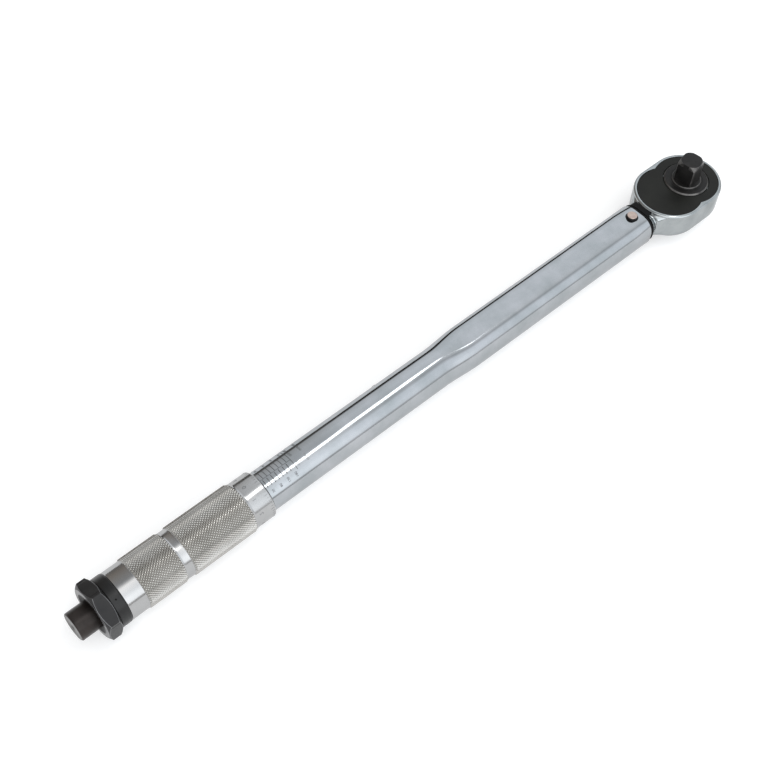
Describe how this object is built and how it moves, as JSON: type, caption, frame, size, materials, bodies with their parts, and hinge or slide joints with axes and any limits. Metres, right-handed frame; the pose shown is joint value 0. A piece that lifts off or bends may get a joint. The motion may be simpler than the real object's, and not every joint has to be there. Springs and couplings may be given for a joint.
{
  "type": "torque wrench",
  "caption": "Click-type adjustable torque wrench: reversible ratchet head with a male square drive on a flat-fronted steel tube, with a knurled screw-adjusted grip and a locking nut.",
  "frame": {"origin": "middle of the square drive where it leaves its round boss, on the face a socket seats on", "axes": "+X along the wrench from the handle to the tip of the head, +Z out along the square drive, +Y the side of the tube with the key stud"},
  "size_m": [0.4929, 0.0458, 0.0446],
  "materials": {
    "tube_chrome": "satin chrome plate with printed-black scale rings and numerals",
    "grip_chrome": "satin chrome plate, diamond knurled in two bands",
    "head_chrome": "polished chrome over a forging",
    "black_oxide": "black oxide, lightly oiled",
    "cover_black": "fine matt black coating",
    "pin_steel": "bare pin end with a warm tint",
    "seal_rubber": "matt black rubber",
    "collar_plastic": "semi-gloss black",
    "inner_steel": "machined steel with a film of grease",
    "spring_steel": "oil-tempered spring wire",
    "bearing_steel": "polished balls"
  },
  "bodies": {
    "tube": {"body_tube": "tube_chrome", "pivot_pin": "pin_steel", "slider_key": "tube_chrome", "thread_bush": "inner_steel", "main_spring": "spring_steel"},
    "head": {"ratchet_head": "head_chrome", "cover_plate": "cover_black", "neck_seal": "seal_rubber", "pawl_pin": "inner_steel"},
    "drive": {"drive_gear": "black_oxide", "detent_spring": "spring_steel"},
    "detent": {"detent_ball": "bearing_steel"},
    "lever": {"reverse_lever": "black_oxide", "lever_clip": "spring_steel", "plunger_spring": "spring_steel"},
    "plunger": {"pawl_plunger": "inner_steel"},
    "pawl": {"pawl": "inner_steel"},
    "rocker": {"tilt_block": "inner_steel"},
    "slider": {"thrust_slider": "inner_steel"},
    "carriage": {"spring_seat": "inner_steel", "bearing_balls": "bearing_steel", "bearing_race": "inner_steel"},
    "handle": {"handle_grip": "grip_chrome", "adjusting_screw": "black_oxide", "handle_dowel": "inner_steel"},
    "collar": {"lock_collar": "collar_plastic"},
    "nut": {"lock_nut": "black_oxide"}
  },
  "joints": [
    {"name": "head_click", "type": "hinge", "parent": "tube", "child": "head", "pos_m": [-0.0525, 0, -0.0117], "axis": [0, 0, 1], "range_deg": [-0.8, 0.8], "stiffness_Nm_per_rad": 40},
    {"name": "drive_spin", "type": "hinge", "parent": "head", "child": "drive", "pos_m": [0, 0, -0.0117], "axis": [0, 0, 1], "continuous": true},
    {"name": "detent_press", "type": "slide", "parent": "drive", "child": "detent", "axis": [-0.1564, 0.9877, 0], "range_m": [-0.0009, 0], "stiffness_N_per_m": 400, "springref_m": 0.001, "deforming": ["detent_spring"]},
    {"name": "lever_turn", "type": "hinge", "parent": "head", "child": "lever", "pos_m": [-0.03, 0, -0.0117], "axis": [0, 0, -1], "range_deg": [0, 50]},
    {"name": "plunger_press", "type": "slide", "parent": "lever", "child": "plunger", "axis": [0.9063, 0.4226, 0], "range_m": [-0.0006, 0], "stiffness_N_per_m": 400, "springref_m": 0.001, "deforming": ["plunger_spring"]},
    {"name": "pawl_rock", "type": "hinge", "parent": "head", "child": "pawl", "pos_m": [-0.021, 0, -0.0117], "axis": [0, 0, 1], "range_deg": [0, 7]},
    {"name": "slider_press", "type": "slide", "parent": "tube", "child": "slider", "axis": [1, 0, 0], "range_m": [0, 0.0002], "stiffness_N_per_m": 2000, "springref_m": -0.002},
    {"name": "rocker_tilt", "type": "hinge", "parent": "slider", "child": "rocker", "pos_m": [-0.218, 0, -0.0117], "axis": [0, 0, 1], "range_deg": [-10.4, 10.4]},
    {"name": "adjuster_travel", "type": "slide", "parent": "tube", "child": "carriage", "axis": [1, 0, 0], "range_m": [0, 0.0325], "deforming": ["main_spring"]},
    {"name": "handle_turn", "type": "hinge", "parent": "carriage", "child": "handle", "pos_m": [-0.4, 0, -0.0117], "axis": [1, 0, 0], "range_deg": [0, 4680.5]},
    {"name": "collar_slide", "type": "slide", "parent": "handle", "child": "collar", "axis": [-1, 0, 0], "range_m": [0, 0.00151]},
    {"name": "nut_turn", "type": "hinge", "parent": "collar", "child": "nut", "pos_m": [-0.454, 0, -0.0117], "axis": [-1, 0, 0], "range_deg": [0, 360]}
  ],
  "couplings": [
    {"joint": "pawl_rock", "follows": "lever_turn", "ratio": 0.14},
    {"joint": "rocker_tilt", "follows": "head_click", "ratio": -12.86},
    {"joint": "handle_turn", "follows": "adjuster_travel", "rad_per_m": 2513.3},
    {"joint": "collar_slide", "follows": "nut_turn", "m_per_rad": 0.00023873}
  ]
}
